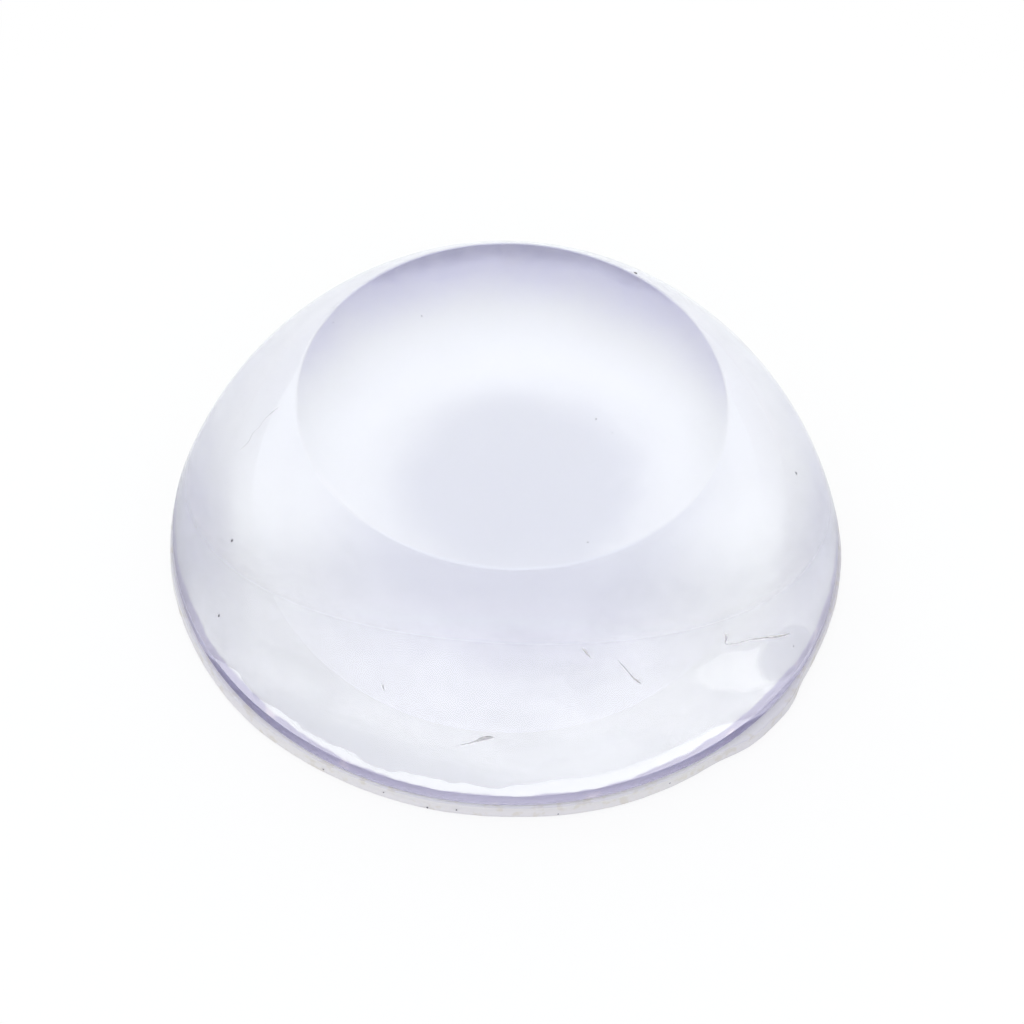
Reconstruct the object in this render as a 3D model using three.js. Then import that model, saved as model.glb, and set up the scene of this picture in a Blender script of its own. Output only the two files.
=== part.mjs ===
// Clear stick-on door bumper: a moulded elastomer frustum on a disc of pressure-sensitive adhesive.
// Millimetres, +Z up. The origin is the centre of the adhesive face, which is the plane z = 0.
import * as THREE from 'three';

// Moulded body
const bodyDiameter = 10.0;
const landHeight = 0.2;
const sideHeight = 2.86;
const sideRadius = 5.9;
const strikeFaceDiameter = 6.28;
const rimFillet = 0.1;

// Adhesive disc
const padThickness = 0.26;
const padOverhang = 0.05;
const padEdgeWave = 0.012;
const lobeReach = 0.1;
const lobeBearing = THREE.MathUtils.degToRad(321.5);
const lobeHalfWidth = THREE.MathUtils.degToRad(9);

// Fineness of the round stretches
const turnSteps = 96;
const padSteps = 120;
const sideSteps = 12;
const filletSteps = 4;

const bodyRadius = bodyDiameter / 2;
const strikeFaceRadius = strikeFaceDiameter / 2;
const strikeFaceLevel = landHeight + sideHeight;

const clearElastomer = new THREE.MeshStandardMaterial({
  color: 0xe6e6f2,
  roughness: 0.08,
  metalness: 0,
  transparent: true,
  opacity: 0.45,
});
const milkyAdhesive = new THREE.MeshStandardMaterial({
  color: 0xd4d3d6,
  roughness: 0.55,
  metalness: 0,
});

// Centre of the side's arc: it runs from the top of the land to the sharp rim and bulges outwards.
function sideArcCentre() {
  const foot = new THREE.Vector2(bodyRadius, landHeight);
  const rim = new THREE.Vector2(strikeFaceRadius, strikeFaceLevel);
  const chord = rim.clone().sub(foot);
  const inward = new THREE.Vector2(-chord.y, chord.x).normalize();
  const depth = Math.sqrt(sideRadius ** 2 - (chord.length() / 2) ** 2);
  return foot.add(rim).multiplyScalar(0.5).addScaledVector(inward, depth);
}

// Points of an arc in the profile's plane, both ends included.
function arcPoints(centre, radius, startAngle, endAngle, steps) {
  return Array.from({ length: steps + 1 }, (_, i) => {
    const angle = THREE.MathUtils.lerp(startAngle, endAngle, i / steps);
    return new THREE.Vector2(
      centre.x + radius * Math.cos(angle),
      centre.y + radius * Math.sin(angle),
    );
  });
}

// Half section of the body: base, land, bulging side, fillet tangent to side and strike face, top.
function bodyProfile() {
  const side = sideArcCentre();
  const filletLevel = strikeFaceLevel - rimFillet;
  const filletReach = Math.sqrt((sideRadius - rimFillet) ** 2 - (filletLevel - side.y) ** 2);
  const fillet = new THREE.Vector2(side.x + filletReach, filletLevel);
  const footAngle = Math.atan2(landHeight - side.y, bodyRadius - side.x);
  const tangentAngle = Math.atan2(fillet.y - side.y, fillet.x - side.x);
  return [
    new THREE.Vector2(0, 0),
    new THREE.Vector2(bodyRadius, 0),
    ...arcPoints(side, sideRadius, footAngle, tangentAngle, sideSteps),
    ...arcPoints(fillet, rimFillet, tangentAngle, Math.PI / 2, filletSteps).slice(1),
    new THREE.Vector2(0, strikeFaceLevel),
  ];
}

// A lathe turns about +Y, so the solid is tipped to bring its axis to +Z.
function makeBumperBody() {
  const geometry = new THREE.LatheGeometry(bodyProfile(), turnSteps);
  geometry.rotateX(Math.PI / 2);
  const body = new THREE.Mesh(geometry, clearElastomer);
  body.name = 'bumper_body';
  body.position.z = padThickness;
  return body;
}

// The pad was squeezed out in one place and its edge wanders a little all the way round.
function padRadiusAt(bearing) {
  const wander = Math.sin(5 * bearing + 1.1) + 0.6 * Math.sin(11 * bearing + 2.3);
  const lobe = Math.exp(-(((bearing - lobeBearing) / lobeHalfWidth) ** 4));
  return bodyRadius + padOverhang + padEdgeWave * wander + lobeReach * lobe;
}

function makeAdhesivePad() {
  const outline = Array.from({ length: padSteps }, (_, i) => {
    const bearing = (2 * Math.PI * i) / padSteps;
    const radius = padRadiusAt(bearing);
    return new THREE.Vector2(radius * Math.cos(bearing), radius * Math.sin(bearing));
  });
  const geometry = new THREE.ExtrudeGeometry(new THREE.Shape(outline), {
    depth: padThickness,
    bevelEnabled: false,
    steps: 1,
  });
  const pad = new THREE.Mesh(geometry, milkyAdhesive);
  pad.name = 'adhesive_pad';
  return pad;
}

const bumper = new THREE.Group();
bumper.add(makeAdhesivePad(), makeBumperBody());

export default bumper;
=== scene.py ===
"""Clear stick-on cabinet door bumper: a turned elastomer body on a thin milky adhesive disc.

Laid out as an add-on and run as a script. Lengths are in metres, and +Z is the body's turning axis.
"""
import math

import bpy
from bpy.props import FloatProperty, FloatVectorProperty, IntProperty, PointerProperty
from mathutils import Matrix, Vector


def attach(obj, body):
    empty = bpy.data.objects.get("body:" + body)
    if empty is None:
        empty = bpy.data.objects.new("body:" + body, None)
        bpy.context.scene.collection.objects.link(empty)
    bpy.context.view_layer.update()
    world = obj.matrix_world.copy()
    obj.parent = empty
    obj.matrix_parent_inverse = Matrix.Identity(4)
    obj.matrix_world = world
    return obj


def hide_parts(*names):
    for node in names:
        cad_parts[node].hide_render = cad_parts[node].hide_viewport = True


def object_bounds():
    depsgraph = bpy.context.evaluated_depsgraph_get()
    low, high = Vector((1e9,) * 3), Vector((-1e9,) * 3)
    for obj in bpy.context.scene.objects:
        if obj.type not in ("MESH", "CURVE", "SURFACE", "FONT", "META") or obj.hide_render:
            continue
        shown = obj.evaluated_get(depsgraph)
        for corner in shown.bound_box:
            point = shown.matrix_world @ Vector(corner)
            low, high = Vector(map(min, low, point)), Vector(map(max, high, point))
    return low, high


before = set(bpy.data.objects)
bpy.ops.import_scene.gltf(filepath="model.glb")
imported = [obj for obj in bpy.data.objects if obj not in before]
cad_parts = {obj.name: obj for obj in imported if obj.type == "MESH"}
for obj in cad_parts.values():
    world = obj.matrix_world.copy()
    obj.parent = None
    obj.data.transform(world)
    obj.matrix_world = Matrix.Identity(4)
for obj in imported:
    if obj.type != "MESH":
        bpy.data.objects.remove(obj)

CAD_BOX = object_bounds()

bl_info = {
    "name": "Clear door bumper",
    "version": (1, 0, 0),
    "blender": (4, 5, 0),
    "location": "3D View > Sidebar > Bumper",
    "description": "Builds a clear stick-on door bumper with its adhesive, lint, dust and studio",
    "category": "Object",
}

MM = 0.001
UP = Vector((0.0, 0.0, 1.0))
BACK = Vector((0.0, 1.0, 0.0))

# Lint and smears on the side: bearing in degrees from +X, level above the adhesive face and width, in mm.
HOOKED_FIBRE = (
    (317.1, 1.89, 0.022), (316.9, 1.84, 0.036), (316.6, 1.80, 0.018), (316.4, 1.77, 0.008), (317.2, 1.73, 0.007),
    (319.0, 1.66, 0.009), (321.6, 1.58, 0.008), (324.8, 1.44, 0.018), (327.5, 1.30, 0.034), (330.1, 1.16, 0.020),
    (331.6, 1.09, 0.006),
)
STRAY_FIBRE = (
    (182.9, 3.11, 0.003), (183.2, 3.02, 0.007), (183.8, 2.90, 0.003), (185.2, 2.80, 0.003), (185.4, 2.70, 0.004),
    (186.8, 2.64, 0.005), (187.1, 2.54, 0.004), (186.9, 2.45, 0.003),
)
LOW_SMEAR = (
    (263.9, 1.22, 0.006), (265.0, 1.25, 0.014), (266.3, 1.29, 0.018), (267.6, 1.34, 0.046), (268.3, 1.36, 0.058),
    (269.0, 1.37, 0.050), (269.7, 1.38, 0.012),
)
SLANTED_SMEAR = (
    (293.8, 2.20, 0.004), (294.6, 2.12, 0.016), (295.3, 2.04, 0.007), (296.0, 1.95, 0.022), (296.8, 1.88, 0.028),
    (297.3, 1.84, 0.006),
)
ROUND_SMEAR = ((286.9, 2.45, 0.006), (287.4, 2.41, 0.032), (287.9, 2.36, 0.028), (288.5, 2.32, 0.006))
FAINT_SMEAR = ((248.3, 1.79, 0.006), (248.7, 1.75, 0.026), (249.1, 1.71, 0.006))

# Specks on the side: bearing in degrees, level in mm, width in mm.
SIDE_SPECKS = (
    (57.4, 3.245, 0.078), (358.8, 2.12, 0.052), (204.2, 1.95, 0.054), (211.1, 1.07, 0.050),
    (302.0, 1.62, 0.020), (331.5, 0.86, 0.030), (317.1, 1.88, 0.034),
)
# Specks on the flat top: x, y and width in mm.
TOP_SPECKS = (
    (1.16, -2.59, 0.023), (1.22, -0.28, 0.023), (1.46, -0.53, 0.018), (-1.40, 1.56, 0.024), (-2.69, 1.34, 0.016),
)
# Specks stuck to the adhesive's edge: bearing in degrees, level in mm, width in mm.
EDGE_SPECKS = (
    (280.9, 0.05, 0.036), (264.3, 0.11, 0.032), (259.5, 0.05, 0.036), (300.2, 0.12, 0.034),
    (252.0, 0.14, 0.026), (241.0, 0.09, 0.028), (226.5, 0.16, 0.028),
)


def length(name, description, default):
    return FloatProperty(name=name, description=description, default=default, min=0.0, precision=5, unit="LENGTH")


def angle(name, description, degrees):
    return FloatProperty(name=name, description=description, default=math.radians(degrees), unit="ROTATION")


def colour(name, description, default):
    return FloatVectorProperty(
        name=name, description=description, default=default, min=0.0, soft_max=1.0, size=3, subtype="COLOR")


def factor(name, description, default):
    return FloatProperty(name=name, description=description, default=default, min=0.0, max=1.0, subtype="FACTOR")


class BumperSizes(bpy.types.PropertyGroup):
    """Sizes of the body and of its adhesive."""

    body_diameter: length("Body diameter", "Across the base of the clear body", 0.010)
    land_height: length("Land height", "Upright wall at the foot of the body", 0.0002)
    side_height: length("Side height", "Level of the flat top above the land", 0.00286)
    side_radius: length("Side radius", "Radius of the bulging side's arc", 0.0059)
    face_diameter: length("Top diameter", "Across the flat top, at the sharp corner", 0.00628)
    rim_fillet: length("Rim fillet", "Rounding between the side and the flat top", 0.0001)
    turns: IntProperty(name="Turns", description="Facets round the body", default=256, min=24)
    adhesive_thickness: length("Adhesive thickness", "Level of the body's base", 0.00026)
    air_film: length("Air film", "Gap between the adhesive's top and the body's base", 0.00001)
    overhang: length("Overhang", "Reach of the adhesive past the body", 0.00005)
    edge_wave: length("Edge wave", "Slow waves in the adhesive's outline", 0.000012)
    edge_tear: length("Edge tear", "Fine raggedness of the adhesive's outline", 0.000012)
    lobe_reach: length("Lobe reach", "Adhesive squeezed out at one place", 0.0001)
    lobe_bearing: angle("Lobe bearing", "Where the adhesive is squeezed out", 321.5)
    lobe_half_width: angle("Lobe half width", "Half the angle that the lobe covers", 9.0)
    lint_share: FloatProperty(name="Lint width", description="Scale of the lint's width", default=1.0, min=0.0)


class BumperFinish(bpy.types.PropertyGroup):
    """Colours and finish of the elastomer, the adhesive and the dirt, with painted shade on the body's foot and on the
    adhesive.
    """

    glass_ior: FloatProperty(name="Refractive index", description="Of the elastomer", default=1.49, min=1.0)
    absorption_density: FloatProperty(
        name="Absorption", description="Light lost per metre in the elastomer", default=70.0, min=0.0)
    absorption_colour: colour("Absorption colour", "Colour that passes through", (0.514, 0.495, 0.71))
    # Land colours are painted shade: a dark violet band on the foot's upright wall, lighter at the left and right,
    # standing in for shade seen through it.
    land_painted_shade: colour("Land colour", "Tint of the upright wall at the foot", (0.38, 0.345, 0.50))
    land_painted_shade_side: colour("Land colour, sides", "Tint of that wall at the left and right", (0.78, 0.72, 1.0))
    bonded_radius: length("Bonded radius", "Where the adhesive stops holding the base", 0.00455)
    centre_roughness: factor("Centre roughness", "Softness of the base in the middle", 0.14)
    bonded_roughness: factor("Bonded roughness", "Softness of the base over the adhesive", 0.27)
    ring_roughness: factor("Ring roughness", "Softness of the base in the clean ring", 0.10)
    dull_roughness: factor("Dull roughness", "Softness of the base by the ring at the lower left", 0.36)
    # The centre, outer and rim colours are painted shade, standing in for the light the body throws on the adhesive;
    # the ring colour is the adhesive's own white.
    adhesive_centre_painted_shade: colour("Adhesive centre", "Colour in the middle of the disc", (0.83, 0.835, 0.88))
    adhesive_ring: colour("Adhesive ring", "Colour of the clean ring", (0.98, 0.98, 0.98))
    adhesive_outer_painted_shade: colour("Adhesive outer part", "Colour outside the clean ring", (0.79, 0.77, 1.0))
    adhesive_rim_painted_shade: colour("Adhesive rim", "Colour under the body's edge", (0.52, 0.50, 0.70))
    adhesive_edge: colour("Adhesive edge", "Colour of the bare cut edge", (0.68, 0.67, 0.61))
    lint_colour: colour("Lint colour", "Colour of the fibres", (0.32, 0.31, 0.31))
    smear_colour: colour("Smear colour", "Colour of the rubbed-in marks", (0.36, 0.355, 0.34))
    dust_colour: colour("Dust colour", "Colour of the specks", (0.06, 0.055, 0.06))


class BumperStudio(bpy.types.PropertyGroup):
    """Floor, sky and camera."""

    floor_colour: colour("Floor colour", "Pale paper under the bumper", (0.62, 0.62, 0.64))
    shadow_inner: length("Shadow radius", "Floor that shows the object's shadow in full", 0.006)
    shadow_outer: length("Shadow end", "Where the floor turns to plain white", 0.014)
    sky_colour: colour("Sky", "Dim soft light from all round", (0.75, 0.75, 0.75))
    camera_elevation: angle("Camera elevation", "Height of the view above the floor", 49.62)
    camera_roll: angle("Camera roll", "Turn of the view about its axis", 2.92)
    camera_distance: length("Camera distance", "From the middle of the bumper", 0.0602)
    camera_lens: FloatProperty(name="Lens", description="Focal length on a 36 mm sensor", default=142.96, unit="CAMERA")


# Node trees


def put(tree, kind, *values, **settings):
    """Add a node, set its fields, and link or set its inputs in order."""
    node = tree.nodes.new(kind)
    for field, value in settings.items():
        setattr(node, field, value)
    for socket, value in zip(node.inputs, values):
        if value is None:
            continue
        if isinstance(value, bpy.types.NodeSocket):
            tree.links.new(value, socket)
        else:
            socket.default_value = value
    return node


def calc(tree, operation, *values):
    return put(tree, "ShaderNodeMath", *values, operation=operation).outputs[0]


def vector(tree, operation, *values):
    node = put(tree, "ShaderNodeVectorMath", *values, operation=operation)
    return node.outputs["Value" if operation in {"DOT_PRODUCT", "LENGTH", "DISTANCE"} else "Vector"]


def scaled(tree, value, amount):
    """A vector times a number."""
    node = put(tree, "ShaderNodeVectorMath", value, operation="SCALE")
    if isinstance(amount, bpy.types.NodeSocket):
        tree.links.new(amount, node.inputs["Scale"])
    else:
        node.inputs["Scale"].default_value = amount
    return node.outputs["Vector"]


def spread(tree, value, low, high, to_low=0.0, to_high=1.0, kind="SMOOTHSTEP"):
    """Map a range of one value to another range, with a soft start and end."""
    return put(tree, "ShaderNodeMapRange", value, low, high, to_low, to_high, interpolation_type=kind).outputs[0]


def mixed(tree, amount, first, second):
    node = put(tree, "ShaderNodeMix", data_type="RGBA")
    for name, value in (("Factor_Float", amount), ("A_Color", first), ("B_Color", second)):
        socket = next(item for item in node.inputs if item.identifier == name)
        if isinstance(value, bpy.types.NodeSocket):
            tree.links.new(value, socket)
        elif name == "Factor_Float":
            socket.default_value = value
        else:
            socket.default_value = (*value, 1.0)
    return next(item for item in node.outputs if item.identifier == "Result_Color")


def noise(tree, place, scale, detail=2.0, roughness=0.5):
    node = put(tree, "ShaderNodeTexNoise", noise_dimensions="3D")
    tree.links.new(place, node.inputs["Vector"])
    node.inputs["Scale"].default_value = scale
    node.inputs["Detail"].default_value = detail
    node.inputs["Roughness"].default_value = roughness
    return node.outputs[0]


def material(name, base=(0.8, 0.8, 0.8), **constants):
    """A Principled material, its tree, and its shader."""
    made = bpy.data.materials.new(name)
    made.use_nodes = True
    shader = made.node_tree.nodes["Principled BSDF"]
    shader.inputs["Base Color"].default_value = (*base, 1.0)
    for key, value in constants.items():
        shader.inputs[key.replace("_", " ")].default_value = value
    return made, made.node_tree, shader


# Geometry Nodes


def group(name, inputs):
    """A geometry tree with named inputs: a socket for each, in order, and the group's output node."""
    tree = bpy.data.node_groups.new(name, "GeometryNodeTree")
    tree.interface.new_socket("Geometry", in_out="OUTPUT", socket_type="NodeSocketGeometry")
    for label, kind in inputs:
        tree.interface.new_socket(label, in_out="INPUT", socket_type="NodeSocket" + kind)
    entry = tree.nodes.new("NodeGroupInput")
    leave = tree.nodes.new("NodeGroupOutput")
    return tree, {item.name: item for item in entry.outputs if item.name}, leave


def call(tree, other, **values):
    """Use one tree inside another."""
    node = put(tree, "GeometryNodeGroup", node_tree=other)
    for label, value in values.items():
        socket = node.inputs[label.replace("_", " ")]
        if isinstance(value, bpy.types.NodeSocket):
            tree.links.new(value, socket)
        else:
            socket.default_value = value
    return node.outputs[0]


def turned_patch(tree, turns, steps, place):
    """A grid bent round the axis: place(along, bearing) gives the radius and the level."""
    grid = put(
        tree, "GeometryNodeMeshGrid", 1.0, 1.0, calc(tree, "ADD", turns, 1.0), calc(tree, "ADD", steps, 1.0))
    split = put(tree, "ShaderNodeSeparateXYZ", tree.nodes.new("GeometryNodeInputPosition").outputs[0])
    bearing = calc(tree, "MULTIPLY", calc(tree, "ADD", split.outputs[0], 0.5), math.tau)
    along = calc(tree, "ADD", split.outputs[1], 0.5)
    radius, level = place(along, bearing)
    spot = put(
        tree, "ShaderNodeCombineXYZ", calc(tree, "MULTIPLY", radius, calc(tree, "COSINE", bearing)),
        calc(tree, "MULTIPLY", radius, calc(tree, "SINE", bearing)), level)
    return put(tree, "GeometryNodeSetPosition", grid.outputs["Mesh"], None, spot.outputs[0]).outputs[0]


def line_group():
    """A straight stretch of the profile, turned round the axis."""
    tree, given, leave = group("Turned line", (
        ("Turns", "Int"), ("Steps", "Int"), ("Radius From", "Float"), ("Radius To", "Float"),
        ("Level From", "Float"), ("Level To", "Float")))

    def place(along, bearing):
        return (
            spread(tree, along, 0.0, 1.0, given["Radius From"], given["Radius To"], "LINEAR"),
            spread(tree, along, 0.0, 1.0, given["Level From"], given["Level To"], "LINEAR"))

    tree.links.new(turned_patch(tree, given["Turns"], given["Steps"], place), leave.inputs[0])
    return tree


def arc_group():
    """An arc of the profile, turned round the axis."""
    tree, given, leave = group("Turned arc", (
        ("Turns", "Int"), ("Steps", "Int"), ("Centre Radius", "Float"), ("Centre Level", "Float"),
        ("Arc Radius", "Float"), ("Angle From", "Float"), ("Angle To", "Float")))

    def place(along, bearing):
        turn = spread(tree, along, 0.0, 1.0, given["Angle From"], given["Angle To"], "LINEAR")
        return (
            calc(tree, "MULTIPLY_ADD", calc(tree, "COSINE", turn), given["Arc Radius"], given["Centre Radius"]),
            calc(tree, "MULTIPLY_ADD", calc(tree, "SINE", turn), given["Arc Radius"], given["Centre Level"]))

    tree.links.new(turned_patch(tree, given["Turns"], given["Steps"], place), leave.inputs[0])
    return tree


def finish_tree(tree, mesh, leave, finish, sharp_angle):
    """Weld the patches, keep only the real edges sharp, and give the finish."""
    welded = put(tree, "GeometryNodeMergeByDistance", mesh, None, 1e-7).outputs[0]
    smooth = put(tree, "GeometryNodeSetShadeSmooth", welded, None, True, domain="FACE").outputs[0]
    edges = tree.nodes.new("GeometryNodeInputMeshEdgeAngle").outputs["Unsigned Angle"]
    sharp = calc(tree, "GREATER_THAN", edges, math.radians(sharp_angle))
    creased = put(tree, "GeometryNodeSetShadeSmooth", smooth, sharp, False, domain="EDGE").outputs[0]
    real = put(tree, "GeometryNodeRealizeInstances", creased).outputs[0]
    painted = put(tree, "GeometryNodeSetMaterial", real, None, finish).outputs[0]
    tree.links.new(painted, leave.inputs[0])


def body_group():
    """The clear body as one closed turned solid, from its driving sizes."""
    tree, given, leave = group("Bumper body", (
        ("Body Diameter", "Float"), ("Land Height", "Float"), ("Side Height", "Float"), ("Side Radius", "Float"),
        ("Face Diameter", "Float"), ("Rim Fillet", "Float"), ("Base Level", "Float"), ("Turns", "Int"),
        ("Side Steps", "Int"), ("Fillet Steps", "Int"), ("Flat Steps", "Int"), ("Finish", "Material")))

    def c(operation, *values):
        return calc(tree, operation, *values)

    foot_r = c("MULTIPLY", given["Body Diameter"], 0.5)
    rim_r = c("MULTIPLY", given["Face Diameter"], 0.5)
    base = given["Base Level"]
    foot_z = c("ADD", base, given["Land Height"])
    top_z = c("ADD", foot_z, given["Side Height"])
    inset = c("SUBTRACT", foot_r, rim_r)
    rise = given["Side Height"]
    chord = c("SQRT", c("ADD", c("MULTIPLY", inset, inset), c("MULTIPLY", rise, rise)))
    radius = given["Side Radius"]
    half = c("MULTIPLY", chord, 0.5)
    reach = c("SQRT", c("SUBTRACT", c("MULTIPLY", radius, radius), c("MULTIPLY", half, half)))
    pull = c("DIVIDE", reach, chord)
    centre_r = c("SUBTRACT", c("MULTIPLY", c("ADD", foot_r, rim_r), 0.5), c("MULTIPLY", rise, pull))
    centre_z = c("SUBTRACT", c("MULTIPLY", c("ADD", foot_z, top_z), 0.5), c("MULTIPLY", inset, pull))
    fillet = given["Rim Fillet"]
    fillet_z = c("SUBTRACT", top_z, fillet)
    inner = c("SUBTRACT", radius, fillet)
    drop = c("SUBTRACT", fillet_z, centre_z)
    run = c("SQRT", c("SUBTRACT", c("MULTIPLY", inner, inner), c("MULTIPLY", drop, drop)))
    fillet_r = c("ADD", centre_r, run)
    start = c("ARCTAN2", c("SUBTRACT", foot_z, centre_z), c("SUBTRACT", foot_r, centre_r))
    end = c("ARCTAN2", drop, run)
    line, arc = line_group(), arc_group()
    turns, flats = given["Turns"], given["Flat Steps"]
    parts = (
        call(tree, line, Turns=turns, Steps=flats, Radius_From=0.0, Radius_To=foot_r, Level_From=base, Level_To=base),
        call(tree, line, Turns=turns, Steps=2, Radius_From=foot_r, Radius_To=foot_r, Level_From=base,
             Level_To=foot_z),
        call(tree, arc, Turns=turns, Steps=given["Side Steps"], Centre_Radius=centre_r, Centre_Level=centre_z,
             Arc_Radius=radius, Angle_From=start, Angle_To=end),
        call(tree, arc, Turns=turns, Steps=given["Fillet Steps"], Centre_Radius=fillet_r, Centre_Level=fillet_z,
             Arc_Radius=fillet, Angle_From=end, Angle_To=math.pi / 2),
        call(tree, line, Turns=turns, Steps=flats, Radius_From=fillet_r, Radius_To=0.0, Level_From=top_z,
             Level_To=top_z))
    joined = tree.nodes.new("GeometryNodeJoinGeometry")
    for part in parts:
        tree.links.new(part, joined.inputs[0])
    finish_tree(tree, joined.outputs[0], leave, given["Finish"], 12.0)
    return tree


def adhesive_group():
    """The adhesive disc: a waved and torn outline with one squeezed-out lobe and rounded edges."""
    tree, given, leave = group("Adhesive disc", (
        ("Body Diameter", "Float"), ("Overhang", "Float"), ("Edge Wave", "Float"), ("Edge Tear", "Float"),
        ("Lobe Reach", "Float"), ("Lobe Bearing", "Float"), ("Lobe Half Width", "Float"), ("Top Level", "Float"),
        ("Edge Rounding", "Float"), ("Turns", "Int"), ("Flat Steps", "Int"), ("Finish", "Material")))

    def c(operation, *values):
        return calc(tree, operation, *values)

    def wave(bearing, count, phase, size):
        return c("MULTIPLY", c("SINE", c("MULTIPLY_ADD", bearing, count, phase)), size)

    def outline(bearing):
        waves = c("ADD", wave(bearing, 5.0, 1.1, 1.0), wave(bearing, 11.0, 2.3, 0.6))
        away = c("DIVIDE", c("SUBTRACT", bearing, given["Lobe Bearing"]), given["Lobe Half Width"])
        squared = c("MULTIPLY", away, away)
        lobe = c("EXPONENT", c("MULTIPLY", c("MULTIPLY", squared, squared), -1.0))
        spot = put(tree, "ShaderNodeCombineXYZ", c("COSINE", bearing), c("SINE", bearing), 0.0).outputs[0]
        tear = c("SUBTRACT", noise(tree, spot, 9.0, 4.0, 0.6), 0.5)
        edge = c("MULTIPLY_ADD", given["Body Diameter"], 0.5, given["Overhang"])
        edge = c("MULTIPLY_ADD", waves, given["Edge Wave"], edge)
        edge = c("MULTIPLY_ADD", lobe, given["Lobe Reach"], edge)
        return c("MULTIPLY_ADD", tear, c("MULTIPLY", given["Edge Tear"], 2.0), edge)

    top, rounding = given["Top Level"], given["Edge Rounding"]
    turns, flats = given["Turns"], given["Flat Steps"]

    def flat(level, inward):
        def place(along, bearing):
            edge = c("SUBTRACT", outline(bearing), rounding)
            share = c("SUBTRACT", 1.0, along) if inward else along
            return c("MULTIPLY", edge, share), level
        return turned_patch(tree, turns, flats, place)

    def corner(centre_level, angle_from, steps):
        def place(along, bearing):
            turn = c("MULTIPLY_ADD", along, math.pi / 2, angle_from)
            edge = c("SUBTRACT", outline(bearing), rounding)
            return (
                c("MULTIPLY_ADD", c("COSINE", turn), rounding, edge),
                c("MULTIPLY_ADD", c("SINE", turn), rounding, centre_level))
        return turned_patch(tree, turns, steps, place)

    def wall(along, bearing):
        spot = put(
            tree, "ShaderNodeCombineXYZ", c("MULTIPLY", c("COSINE", bearing), 3.0),
            c("MULTIPLY", c("SINE", bearing), 3.0), c("MULTIPLY", along, 0.5)).outputs[0]
        hollow = c("MULTIPLY", c("SINE", c("MULTIPLY", along, math.pi)), noise(tree, spot, 6.0, 3.0))
        edge = c("MULTIPLY_ADD", hollow, c("MULTIPLY", given["Edge Tear"], -1.2), outline(bearing))
        return edge, spread(tree, along, 0.0, 1.0, rounding, c("SUBTRACT", top, rounding), "LINEAR")

    joined = tree.nodes.new("GeometryNodeJoinGeometry")
    for part in (
            flat(0.0, False), corner(rounding, -math.pi / 2, 4), turned_patch(tree, turns, 8, wall),
            corner(c("SUBTRACT", top, rounding), 0.0, 4), flat(top, True)):
        tree.links.new(part, joined.inputs[0])
    finish_tree(tree, joined.outputs[0], leave, given["Finish"], 50.0)
    return tree


def fibre_group():
    """Lint: tubes that follow the input's edges, as wide as each point says."""
    tree, given, leave = group("Lint tube", (
        ("Width Share", "Float"), ("Sides", "Int"), ("Step", "Float"), ("Finish", "Material")))
    tree.interface.new_socket("Path", in_out="INPUT", socket_type="NodeSocketGeometry")
    tree.interface.move(tree.interface.items_tree["Path"], 1)
    path = next(item for item in tree.nodes["Group Input"].outputs if item.name == "Path")
    given = {item.name: item for item in tree.nodes["Group Input"].outputs if item.name}
    curve = put(tree, "GeometryNodeMeshToCurve", path).outputs[0]
    smooth = put(tree, "GeometryNodeCurveSplineType", curve, spline_type="CATMULL_ROM").outputs[0]
    even = tree.nodes.new("GeometryNodeResampleCurve")
    even.mode = "LENGTH"
    tree.links.new(smooth, even.inputs["Curve"])
    tree.links.new(given["Step"], even.inputs["Length"])
    width = put(tree, "GeometryNodeInputNamedAttribute", "width", data_type="FLOAT").outputs["Attribute"]
    place = tree.nodes.new("GeometryNodeInputPosition").outputs[0]
    uneven = spread(tree, noise(tree, place, 9000.0, 2.0), 0.3, 0.7, 0.8, 1.2)
    half = calc(tree, "MULTIPLY", calc(tree, "MULTIPLY", given["Width Share"], 0.5), width)
    radius = calc(tree, "MULTIPLY", half, uneven)
    sized = put(tree, "GeometryNodeSetCurveRadius", even.outputs[0], None, radius).outputs[0]
    ring = tree.nodes.new("GeometryNodeCurvePrimitiveCircle")
    tree.links.new(given["Sides"], ring.inputs["Resolution"])
    ring.inputs["Radius"].default_value = 1.0
    tube = tree.nodes.new("GeometryNodeCurveToMesh")
    tree.links.new(sized, tube.inputs["Curve"])
    tree.links.new(ring.outputs[0], tube.inputs["Profile Curve"])
    tube.inputs["Fill Caps"].default_value = True
    if "Scale" in tube.inputs:
        tree.links.new(radius, tube.inputs["Scale"])
    finish_tree(tree, tube.outputs[0], leave, given["Finish"], 60.0)
    return tree


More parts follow.
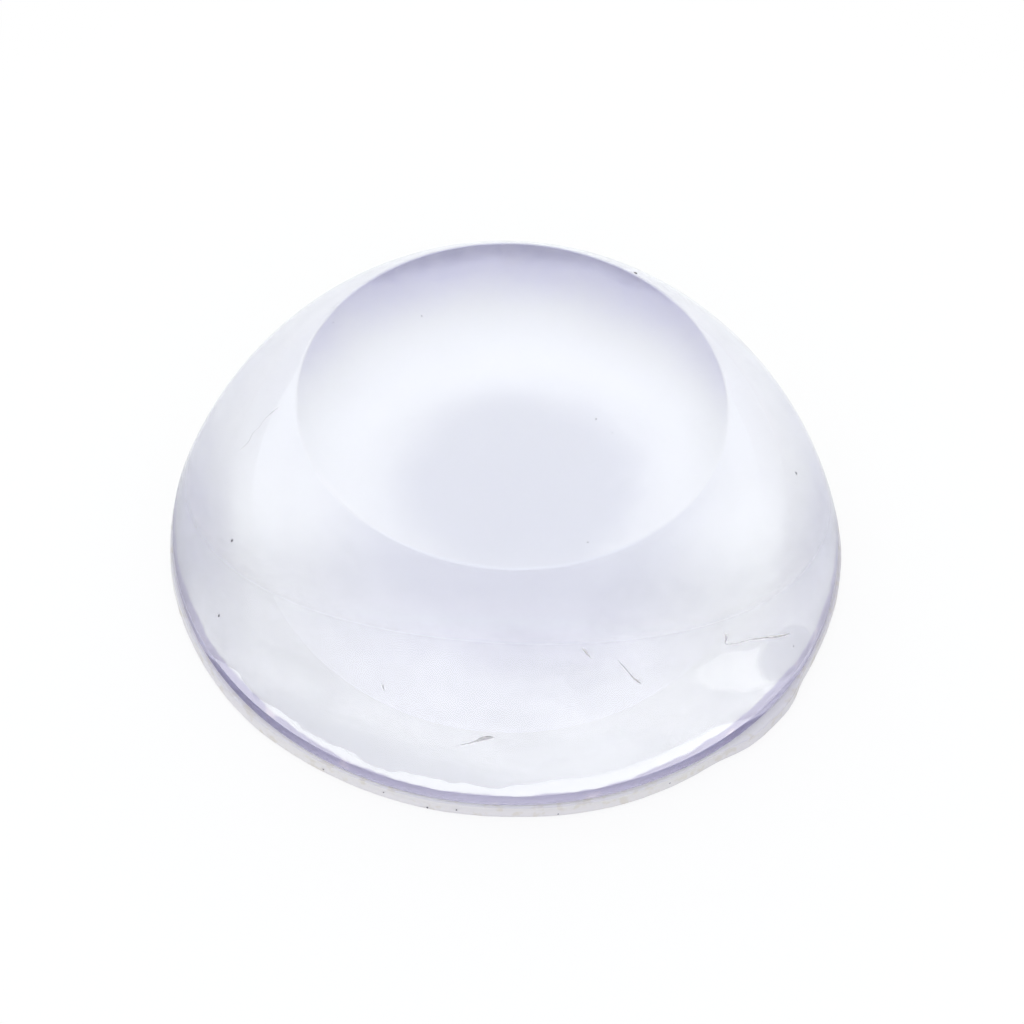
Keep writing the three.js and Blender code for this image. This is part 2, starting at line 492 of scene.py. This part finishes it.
def speck_group():
    """Specks: small uneven crumbs, one on each point of the input."""
    tree, given, leave = group("Specks", (
        ("Seed", "Int"), ("Flatness", "Float"), ("Lumpiness", "Float"), ("Finish", "Material")))
    tree.interface.new_socket("Points", in_out="INPUT", socket_type="NodeSocketGeometry")
    tree.interface.move(tree.interface.items_tree["Points"], 1)
    outputs = tree.nodes["Group Input"].outputs
    points = next(item for item in outputs if item.name == "Points")
    given = {item.name: item for item in outputs if item.name}
    crumb = put(tree, "GeometryNodeMeshIcoSphere", 0.5, 3).outputs[0]
    width = put(tree, "GeometryNodeInputNamedAttribute", "width", data_type="FLOAT").outputs["Attribute"]
    out = put(tree, "GeometryNodeInputNamedAttribute", "out", data_type="FLOAT_VECTOR").outputs["Attribute"]
    facing = tree.nodes.new("FunctionNodeAlignRotationToVector")
    facing.axis = "Z"
    tree.links.new(out, facing.inputs["Vector"])
    spin = tree.nodes.new("FunctionNodeRandomValue")
    spin.data_type = "FLOAT"
    next(item for item in spin.inputs if item.identifier == "Max_001").default_value = math.tau
    tree.links.new(given["Seed"], spin.inputs["Seed"])
    turn = next(item for item in spin.outputs if item.identifier == "Value_001")
    twist = put(tree, "ShaderNodeCombineXYZ", 0.0, 0.0, turn).outputs[0]
    about = tree.nodes.new("FunctionNodeRotateRotation")
    about.rotation_space = "LOCAL"
    tree.links.new(facing.outputs[0], about.inputs[0])
    tree.links.new(twist, about.inputs[1])
    flat = calc(tree, "MULTIPLY", width, given["Flatness"])
    size = put(tree, "ShaderNodeCombineXYZ", width, calc(tree, "MULTIPLY", width, 0.7), flat).outputs[0]
    placed = tree.nodes.new("GeometryNodeInstanceOnPoints")
    tree.links.new(points, placed.inputs["Points"])
    tree.links.new(crumb, placed.inputs["Instance"])
    tree.links.new(about.outputs[0], placed.inputs["Rotation"])
    tree.links.new(size, placed.inputs["Scale"])
    real = put(tree, "GeometryNodeRealizeInstances", placed.outputs[0]).outputs[0]
    place = tree.nodes.new("GeometryNodeInputPosition").outputs[0]
    lump = put(tree, "ShaderNodeTexNoise", noise_dimensions="3D")
    tree.links.new(place, lump.inputs["Vector"])
    lump.inputs["Scale"].default_value = 45000.0
    shift = vector(tree, "SUBTRACT", lump.outputs["Color"], (0.5, 0.5, 0.5))
    moved = put(
        tree, "GeometryNodeSetPosition", real, None, None, scaled(tree, shift, given["Lumpiness"])).outputs[0]
    finish_tree(tree, moved, leave, given["Finish"], 70.0)
    return tree


def built(name, tree, values, source=None):
    """Run a geometry tree on a mesh and keep the result as a plain mesh object."""
    holder = bpy.data.objects.new(name + "_source", source or bpy.data.meshes.new(name + "_source"))
    bpy.context.scene.collection.objects.link(holder)
    modifier = holder.modifiers.new("Shape", "NODES")
    modifier.node_group = tree
    sockets = {item.name: item.identifier for item in tree.interface.items_tree if item.in_out == "INPUT"}
    for label, value in values.items():
        modifier[sockets[label]] = value
    evaluated = holder.evaluated_get(bpy.context.evaluated_depsgraph_get())
    mesh = bpy.data.meshes.new_from_object(evaluated)
    bpy.data.objects.remove(holder)
    if not mesh.polygons:
        raise RuntimeError(name + " came out empty")
    mesh.name = name
    piece = bpy.data.objects.new(name, mesh)
    bpy.context.scene.collection.objects.link(piece)
    return piece


# Where things lie on the body


def side_point(sizes, bearing, level, lift=0.0):
    """A point on the body's side, and the way that it faces, from degrees and mm."""
    foot_r, rim_r = sizes.body_diameter / 2, sizes.face_diameter / 2
    foot_z = sizes.adhesive_thickness + sizes.land_height
    top_z = foot_z + sizes.side_height
    inset, rise = foot_r - rim_r, sizes.side_height
    chord = math.hypot(inset, rise)
    pull = math.sqrt(sizes.side_radius ** 2 - (chord / 2) ** 2) / chord
    centre_r = (foot_r + rim_r) / 2 - rise * pull
    centre_z = (foot_z + top_z) / 2 - inset * pull
    height = level * MM - centre_z
    reach = math.sqrt(sizes.side_radius ** 2 - height ** 2)
    turn = math.radians(bearing)
    out = Vector((reach * math.cos(turn), reach * math.sin(turn), height)).normalized()
    spot = Vector(((centre_r + reach) * math.cos(turn), (centre_r + reach) * math.sin(turn), level * MM))
    return spot + out * lift, out


def top_point(sizes, x, y, lift=0.0):
    """A point on the flat top, from mm."""
    level = sizes.adhesive_thickness + sizes.land_height + sizes.side_height
    return Vector((x * MM, y * MM, level + lift)), Vector((0.0, 0.0, 1.0))


def path_mesh(name, sizes, row, lift):
    """Loose edges along the side through a row of points that carry a width."""
    mesh = bpy.data.meshes.new(name)
    points = [tuple(side_point(sizes, bearing, level, width * MM * lift)[0]) for bearing, level, width in row]
    mesh.from_pydata(points, [(i, i + 1) for i in range(len(row) - 1)], [])
    widths = mesh.attributes.new("width", "FLOAT", "POINT")
    for i, (_, _, width) in enumerate(row):
        widths.data[i].value = width * MM
    return mesh


def point_mesh(name, spots):
    """Loose points that carry a width and the way they face."""
    mesh = bpy.data.meshes.new(name)
    mesh.from_pydata([tuple(spot) for spot, _, _ in spots], [], [])
    width = mesh.attributes.new("width", "FLOAT", "POINT")
    out = mesh.attributes.new("out", "FLOAT_VECTOR", "POINT")
    for i, (_, facing, size) in enumerate(spots):
        width.data[i].value = size
        out.data[i].vector = facing
    return mesh


# Materials


def elastomer_material(sizes, finish):
    """Clear elastomer: the base is softer where the adhesive holds it; the foot's violet band and a grey patch on the
    near side are painted shade in the base colour.
    """
    made, tree, shader = material(
        "clear_elastomer_look", (1.0, 1.0, 1.0), Roughness=0.0, IOR=finish.glass_ior, Transmission_Weight=1.0)
    shader.distribution = "GGX"
    place = put(tree, "ShaderNodeTexCoord").outputs["Object"]
    split = put(tree, "ShaderNodeSeparateXYZ", place)
    level = split.outputs[2]
    across = vector(tree, "LENGTH", vector(tree, "MULTIPLY", place, (1.0, 1.0, 0.0)))
    on_base = calc(tree, "LESS_THAN", level, sizes.adhesive_thickness + 0.000001)
    lumpy_side = spread(tree, vector(tree, "DOT_PRODUCT", place, (-0.55, -0.83, 0.0)), 0.0015, 0.0045, 0.12, 0.50)
    ragged = calc(tree, "SUBTRACT", noise(tree, place, 1100.0, 2.0, 0.6), 0.5)
    edge = calc(tree, "MULTIPLY_ADD", calc(tree, "MULTIPLY", ragged, lumpy_side), MM * 1.2, across)
    # Only the near side has a clean ring outside the bond, and it is wider to the right.
    near = spread(tree, vector(tree, "DOT_PRODUCT", place, (-0.08, -0.997, 0.0)), 0.0027, 0.0031)
    edge = calc(tree, "MULTIPLY_ADD", calc(tree, "SUBTRACT", 1.0, near), -0.0006, edge)
    wide = spread(tree, split.outputs[0], 0.0, 0.0003)
    edge = calc(tree, "MULTIPLY_ADD", wide, 0.00008, edge)
    aside = calc(tree, "ABSOLUTE", split.outputs[0])
    sideways = spread(tree, aside, 0.0010, 0.0042)
    edge = calc(tree, "MULTIPLY_ADD", sideways, 0.00005, edge)
    bonded = spread(tree, edge, finish.bonded_radius + 0.00004, finish.bonded_radius - 0.00004)
    bonded = calc(tree, "MULTIPLY", bonded, on_base)
    softness = spread(tree, across, 0.0008, 0.0026, finish.centre_roughness, finish.bonded_roughness)
    dull = vector(tree, "DOT_PRODUCT", place, (-0.38, -0.925, 0.0))
    dull = calc(tree, "MULTIPLY_ADD", ragged, MM * 0.6, dull)
    dull = spread(tree, dull, 0.0031, 0.0044, 0.20, finish.dull_roughness)
    corner = vector(tree, "SUBTRACT", place, (0.0039, -0.0019, sizes.adhesive_thickness))
    corner = spread(tree, vector(tree, "LENGTH", corner), 0.0009, 0.0004, 0.0, finish.dull_roughness * 0.93)
    peel = vector(tree, "MULTIPLY", vector(tree, "SUBTRACT", place, (0.00305, -0.0022, 0.0)), (1600.0, 2300.0, 0.0))
    peel = calc(tree, "MULTIPLY_ADD", ragged, 1.4, vector(tree, "LENGTH", peel))
    softness = calc(tree, "MULTIPLY", calc(tree, "MULTIPLY_ADD", ragged, 0.2, softness), spread(tree, peel, 0.8, 1.15, 0.8, 1.0))
    softness = calc(tree, "MAXIMUM", softness, calc(tree, "MAXIMUM", dull, corner))
    grain = put(tree, "ShaderNodeTexWhiteNoise", place, noise_dimensions="3D").outputs["Value"]
    softness = calc(tree, "ADD", softness, spread(tree, grain, 0.0, 1.0, -0.05, 0.05, "LINEAR"))
    softness = calc(tree, "MULTIPLY", spread(tree, bonded, 0.0, 1.0, finish.ring_roughness, softness, "LINEAR"), on_base)
    tree.links.new(softness, shader.inputs["Roughness"])
    # Painted shade: the foot's upright wall gets a dark violet colour, lighter at the left and right and in pinkish
    # patches, standing in for the shade seen through the foot.
    foot = sizes.adhesive_thickness + sizes.land_height
    uneven = calc(tree, "SUBTRACT", noise(tree, place, 2600.0, 2.0, 0.65), 0.5)
    height = calc(tree, "MULTIPLY_ADD", uneven, 0.00016, level)
    height = calc(tree, "MULTIPLY_ADD", sideways, -0.00015, height)
    land = spread(tree, height, foot + 0.00003, foot - 0.00001)
    land = calc(tree, "MULTIPLY", land, calc(tree, "SUBTRACT", 1.0, on_base))
    upper = spread(tree, level, foot, foot + 0.00001, 1.0, 0.25)
    upper = calc(tree, "MULTIPLY", upper, spread(tree, aside, 0.0050, 0.0042, 0.3, 1.0))
    painted_shade_colour = mixed(tree, calc(tree, "MULTIPLY", sideways, upper), finish.land_painted_shade, finish.land_painted_shade_side)
    painted_shade_colour = mixed(tree, spread(tree, uneven, 0.11, 0.19, 0.0, 0.7), painted_shade_colour, (0.86, 0.72, 0.82))
    # Painted shade: a greyer colour over a patch of the near side, about 2.5 mm up, darkens what is seen through it.
    painted_shade_patch = vector(tree, "MULTIPLY", vector(tree, "SUBTRACT", place, (0.0003, -0.0038, 0.00250)), (620.0, 620.0, 2300.0))
    painted_shade_patch = mixed(tree, spread(tree, vector(tree, "LENGTH", painted_shade_patch), 1.2, 0.3), (1.0, 1.0, 1.0), (0.885, 0.88, 0.90))
    painted_shade_colour = mixed(tree, land, painted_shade_patch, painted_shade_colour)
    tree.links.new(painted_shade_colour, shader.inputs["Base Color"])
    body = put(tree, "ShaderNodeVolumeAbsorption")
    body.inputs["Color"].default_value = (*finish.absorption_colour, 1.0)
    body.inputs["Density"].default_value = finish.absorption_density
    tree.links.new(body.outputs[0], tree.nodes["Material Output"].inputs["Volume"])
    return made


def adhesive_material(sizes, finish):
    """Milky adhesive: cloudy; painted shade makes it greyer in the middle, violet outside its bright ring and dark
    violet under the body's rim, and its bare edge is grey with grime and painted shade.
    """
    made, tree, shader = material("milky_adhesive_look", finish.adhesive_ring, Roughness=0.55)
    place = put(tree, "ShaderNodeTexCoord").outputs["Object"]
    across = vector(tree, "LENGTH", vector(tree, "MULTIPLY", place, (1000.0, 1000.0, 0.0)))
    cloud = calc(tree, "SUBTRACT", noise(tree, place, 700.0, 2.0, 0.55), 0.5)
    wavy = calc(tree, "MULTIPLY_ADD", cloud, 0.6, across)
    middle = vector(tree, "MULTIPLY", vector(tree, "SUBTRACT", place, (0.0002, -0.0001, 0.0)), (1000.0, 1000.0, 0.0))
    middle = calc(tree, "MULTIPLY_ADD", cloud, 0.6, vector(tree, "LENGTH", middle))
    # Painted shade: grey in the middle and violet outside the bright ring, standing in for the light that the body
    # throws on the adhesive.
    tone = mixed(tree, spread(tree, middle, 1.3, 2.5), finish.adhesive_centre_painted_shade, finish.adhesive_ring)
    tone = mixed(tree, spread(tree, wavy, 3.2, 4.8), tone, finish.adhesive_outer_painted_shade)
    split = put(tree, "ShaderNodeSeparateXYZ", place).outputs
    # Painted shade: dark violet under the body's rim, strongest on the far side.
    rear = spread(tree, split[1], -0.0005, 0.0015, 0.35, 1.0)
    tone = mixed(tree, calc(tree, "MULTIPLY", spread(tree, wavy, 4.28, 4.64), rear), tone, finish.adhesive_rim_painted_shade)
    edge = calc(tree, "SUBTRACT", noise(tree, place, 5200.0, 2.0, 0.6), 0.5)
    edge_grime_and_shade = mixed(
        tree, spread(tree, edge, 0.02, 0.16), finish.adhesive_edge,
        tuple(part * shade for part, shade in zip(finish.adhesive_edge, (0.93, 0.91, 0.84))))
    # Painted shade on the bare edge: darker and bluer along its top strip, and bluer at the left and right; the
    # mottling above is grime.
    edge_top_painted_shade = mixed(tree, spread(tree, split[2], 0.00021, 0.00024), (1.0, 1.0, 1.0), (0.74, 0.735, 0.81))
    side = spread(tree, calc(tree, "ABSOLUTE", split[0]), 0.0025, 0.0047)
    side = mixed(tree, side, (1.0, 1.0, 1.0), (0.91, 0.90, 0.98))
    edge_grime_and_shade = vector(tree, "MULTIPLY", edge_grime_and_shade, vector(tree, "MULTIPLY", edge_top_painted_shade, side))
    tone = mixed(tree, spread(tree, across, sizes.body_diameter * 500 - 0.03, sizes.body_diameter * 500 + 0.01),
                 tone, edge_grime_and_shade)
    tree.links.new(tone, shader.inputs["Base Color"])
    return made


def dirt_material(name, base, shade):
    """Lint and dust: a dark base with pale grains."""
    made, tree, shader = material(name, base, Roughness=0.8)
    place = put(tree, "ShaderNodeTexCoord").outputs["Object"]
    grain = spread(tree, noise(tree, place, 22000.0, 3.0), 0.35, 0.7)
    tree.links.new(mixed(tree, grain, base, tuple(part * shade for part in base)), shader.inputs["Base Color"])
    return made


# Operators


class BUMPER_OT_body(bpy.types.Operator):
    """Turn the clear body and give it its elastomer finish"""

    bl_idname = "bumper.body"
    bl_label = "Clear body"

    def execute(self, context):
        sizes, finish = context.scene.bumper_sizes, context.scene.bumper_finish
        piece = built("clear_body", body_group(), {
            "Body Diameter": sizes.body_diameter, "Land Height": sizes.land_height,
            "Side Height": sizes.side_height, "Side Radius": sizes.side_radius,
            "Face Diameter": sizes.face_diameter, "Rim Fillet": sizes.rim_fillet,
            "Base Level": sizes.adhesive_thickness, "Turns": sizes.turns, "Side Steps": 64,
            "Fillet Steps": 8, "Flat Steps": 14, "Finish": elastomer_material(sizes, finish)})
        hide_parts("bumper_body")
        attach(piece, "root")
        return {"FINISHED"}


class BUMPER_OT_adhesive(bpy.types.Operator):
    """Cut the milky adhesive disc with its torn edge and squeezed-out lobe"""

    bl_idname = "bumper.adhesive"
    bl_label = "Adhesive disc"

    def execute(self, context):
        sizes, finish = context.scene.bumper_sizes, context.scene.bumper_finish
        piece = built("adhesive_disc", adhesive_group(), {
            "Body Diameter": sizes.body_diameter, "Overhang": sizes.overhang, "Edge Wave": sizes.edge_wave,
            "Edge Tear": sizes.edge_tear, "Lobe Reach": sizes.lobe_reach, "Lobe Bearing": sizes.lobe_bearing,
            "Lobe Half Width": sizes.lobe_half_width, "Top Level": sizes.adhesive_thickness - sizes.air_film,
            "Edge Rounding": 0.00003, "Turns": 720, "Flat Steps": 20,
            "Finish": adhesive_material(sizes, finish)})
        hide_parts("adhesive_pad")
        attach(piece, "root")
        return {"FINISHED"}


class BUMPER_OT_lint(bpy.types.Operator):
    """Lay the lint fibres on the dome"""

    bl_idname = "bumper.lint"
    bl_label = "Lint fibres"

    def execute(self, context):
        sizes, finish = context.scene.bumper_sizes, context.scene.bumper_finish
        lint = dirt_material("lint_look", finish.lint_colour, 2.0)
        smear = dirt_material("smear_look", finish.smear_colour, 1.6)
        tree = fibre_group()
        # Name, points, how far the middle stands off the surface in widths, and finish.
        rows = (
            ("hooked_fibre", HOOKED_FIBRE, 0.45, lint), ("stray_fibre", STRAY_FIBRE, 0.2, smear),
            ("low_smear", LOW_SMEAR, -0.30, smear), ("slanted_smear", SLANTED_SMEAR, -0.30, smear),
            ("round_smear", ROUND_SMEAR, -0.30, smear), ("faint_smear", FAINT_SMEAR, -0.30, smear))
        for name, row, lift, look in rows:
            piece = built(name, tree, {
                "Width Share": sizes.lint_share, "Sides": 12, "Step": 0.000015, "Finish": look},
                path_mesh(name + "_path", sizes, row, lift))
            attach(piece, "root")
        return {"FINISHED"}


class BUMPER_OT_dust(bpy.types.Operator):
    """Set the dust specks on the body and on the adhesive's edge"""

    bl_idname = "bumper.dust"
    bl_label = "Dust specks"

    def execute(self, context):
        sizes, finish = context.scene.bumper_sizes, context.scene.bumper_finish
        spots = [(*side_point(sizes, bearing, level), width * MM) for bearing, level, width in SIDE_SPECKS]
        spots += [(*top_point(sizes, x, y), width * MM) for x, y, width in TOP_SPECKS]
        for bearing, level, width in EDGE_SPECKS:
            turn = math.radians(bearing)
            reach = sizes.body_diameter / 2 + sizes.overhang
            out = Vector((math.cos(turn), math.sin(turn), 0.0))
            spots.append((out * reach + Vector((0.0, 0.0, level * MM)), out, width * MM))
        piece = built("dust_specks", speck_group(), {
            "Seed": 7, "Flatness": 0.35, "Lumpiness": 0.00001,
            "Finish": dirt_material("dust_look", finish.dust_colour, 3.0)},
            point_mesh("dust_points", spots))
        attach(piece, "root")
        return {"FINISHED"}


class BUMPER_OT_stage(bpy.types.Operator):
    """Set the floor, the soft sky and the camera"""

    bl_idname = "bumper.stage"
    bl_label = "Stage"

    def execute(self, context):
        scene, studio = context.scene, context.scene.bumper_studio
        self.lay_floor(scene, studio)
        self.light_sky(scene, studio)
        self.set_camera(scene, studio)
        scene.view_settings.view_transform = "Standard"
        return {"FINISHED"}

    @staticmethod
    def lay_floor(scene, studio):
        half = 1.0
        mesh = bpy.data.meshes.new("floor")
        mesh.from_pydata([(-half, -half, 0), (half, -half, 0), (half, half, 0), (-half, half, 0)], [], [(0, 1, 2, 3)])
        floor = bpy.data.objects.new("floor", mesh)
        scene.collection.objects.link(floor)
        made, tree, shader = material("paper_floor", studio.floor_colour, Roughness=0.9, Specular_IOR_Level=0.0)
        rays = put(tree, "ShaderNodeLightPath").outputs
        seen = calc(tree, "MAXIMUM", rays["Is Glossy Ray"], rays["Is Transmission Ray"])
        seen = calc(tree, "MAXIMUM", seen, rays["Is Camera Ray"])
        place = put(tree, "ShaderNodeTexCoord").outputs["Object"]
        outside = spread(tree, vector(tree, "LENGTH", place), studio.shadow_inner, studio.shadow_outer)
        outside = calc(tree, "MAXIMUM", outside, calc(tree, "MULTIPLY", rays["Is Camera Ray"], 0.85))
        white = put(tree, "ShaderNodeEmission", (1.0, 1.0, 1.0, 1.0), 1.0).outputs[0]
        mix = put(tree, "ShaderNodeMixShader", calc(tree, "MULTIPLY", seen, outside), shader.outputs[0], white)
        tree.links.new(mix.outputs[0], tree.nodes["Material Output"].inputs["Surface"])
        mesh.materials.append(made)

    @staticmethod
    def light_sky(scene, studio):
        world = bpy.data.worlds.new("soft_studio")
        scene.world = world
        world.use_nodes = True
        tree = world.node_tree
        way = put(tree, "ShaderNodeTexCoord").outputs["Generated"]
        level = put(tree, "ShaderNodeRGB")
        level.outputs[0].default_value = (*studio.sky_colour, 1.0)
        total = level.outputs[0]
        horizon = tuple(1.0 - part for part in studio.sky_colour)
        back = Vector((-0.07, 0.602, 0.799)).normalized()
        rightward, rearward, height = put(tree, "ShaderNodeSeparateXYZ", way).outputs
        # Colour, then each limit on it: how far a ray points one way, and where the light starts and is full.
        lights = (
            ((1.35, 1.45, 1.55), ((height, 0.855, 0.955),)),
            ((0.78, 0.83, 0.62), ((vector(tree, "DOT_PRODUCT", way, tuple(back)), 0.30, 0.80),)),
            ((0.36, 0.40, 0.39), ((height, 0.68, 0.44), (rearward, 0.20, 0.60))),
            ((0.38, 0.38, 0.29), ((vector(tree, "DOT_PRODUCT", way, (-0.481, 0.312, 0.819)), 0.90, 0.99),)),
            ((0.30, 0.315, 0.35), ((rightward, -0.42, -0.98),)),
            ((0.45, 0.42, 0.80), ((rearward, -0.15, -0.80),)),
            (horizon, ((height, 0.22, 0.13),)))
        for tone, limits in lights:
            shares = [spread(tree, *limit) for limit in limits]
            share = shares[0] if len(shares) == 1 else calc(tree, "MULTIPLY", *shares)
            total = vector(tree, "MULTIPLY_ADD", share, tone, total)
        background = tree.nodes["Background"]
        tree.links.new(total, background.inputs["Color"])
        background.inputs["Strength"].default_value = 1.0

    @staticmethod
    def set_camera(scene, studio):
        raise_by, roll = studio.camera_elevation, studio.camera_roll
        middle = Vector((0.0, 0.0, sum(corner[2] for corner in CAD_BOX) / 2))
        spot = middle + studio.camera_distance * Vector((0.0, -math.cos(raise_by), math.sin(raise_by)))
        forward = (middle - spot).normalized()
        right = Vector((1.0, 0.0, 0.0))
        up = right.cross(forward)
        across = right * math.cos(roll) + up * math.sin(roll)
        upright = up * math.cos(roll) - right * math.sin(roll)
        lens = bpy.data.cameras.new("photo_camera")
        lens.sensor_width = 36.0
        lens.lens = studio.camera_lens
        lens.clip_start = 0.001
        lens.clip_end = 10.0
        lens.shift_x = (512.0 - 508.76) / 1024.0
        lens.shift_y = (474.23 - 512.0) / 1024.0
        camera = bpy.data.objects.new("photo_camera", lens)
        scene.collection.objects.link(camera)
        camera.matrix_world = Matrix((
            (across.x, upright.x, -forward.x, spot.x), (across.y, upright.y, -forward.y, spot.y),
            (across.z, upright.z, -forward.z, spot.z), (0.0, 0.0, 0.0, 1.0)))
        scene.camera = camera


class BUMPER_PT_panel(bpy.types.Panel):
    """Sizes, finishes and steps of the bumper"""

    bl_idname = "BUMPER_PT_panel"
    bl_label = "Clear door bumper"
    bl_space_type = "VIEW_3D"
    bl_region_type = "UI"
    bl_category = "Bumper"

    def draw(self, context):
        layout = self.layout
        for title, settings in (
                ("Sizes", context.scene.bumper_sizes), ("Finish", context.scene.bumper_finish),
                ("Studio", context.scene.bumper_studio)):
            box = layout.box()
            box.label(text=title)
            for key in settings.__annotations__:
                box.prop(settings, key)
        for step in STEPS:
            layout.operator(step.bl_idname)


STEPS = (BUMPER_OT_body, BUMPER_OT_adhesive, BUMPER_OT_lint, BUMPER_OT_dust, BUMPER_OT_stage)
GROUPS = {"bumper_sizes": BumperSizes, "bumper_finish": BumperFinish, "bumper_studio": BumperStudio}


def register():
    for cls in (*GROUPS.values(), *STEPS, BUMPER_PT_panel):
        bpy.utils.register_class(cls)
    for key, cls in GROUPS.items():
        setattr(bpy.types.Scene, key, PointerProperty(type=cls))


def unregister():
    for key in GROUPS:
        delattr(bpy.types.Scene, key)
    for cls in (BUMPER_PT_panel, *reversed(STEPS), *reversed(GROUPS.values())):
        bpy.utils.unregister_class(cls)


def main():
    register()
    bpy.ops.bumper.body()
    bpy.ops.bumper.adhesive()
    bpy.ops.bumper.lint()
    bpy.ops.bumper.dust()
    bpy.ops.bumper.stage()


if __name__ == "__main__":
    main()
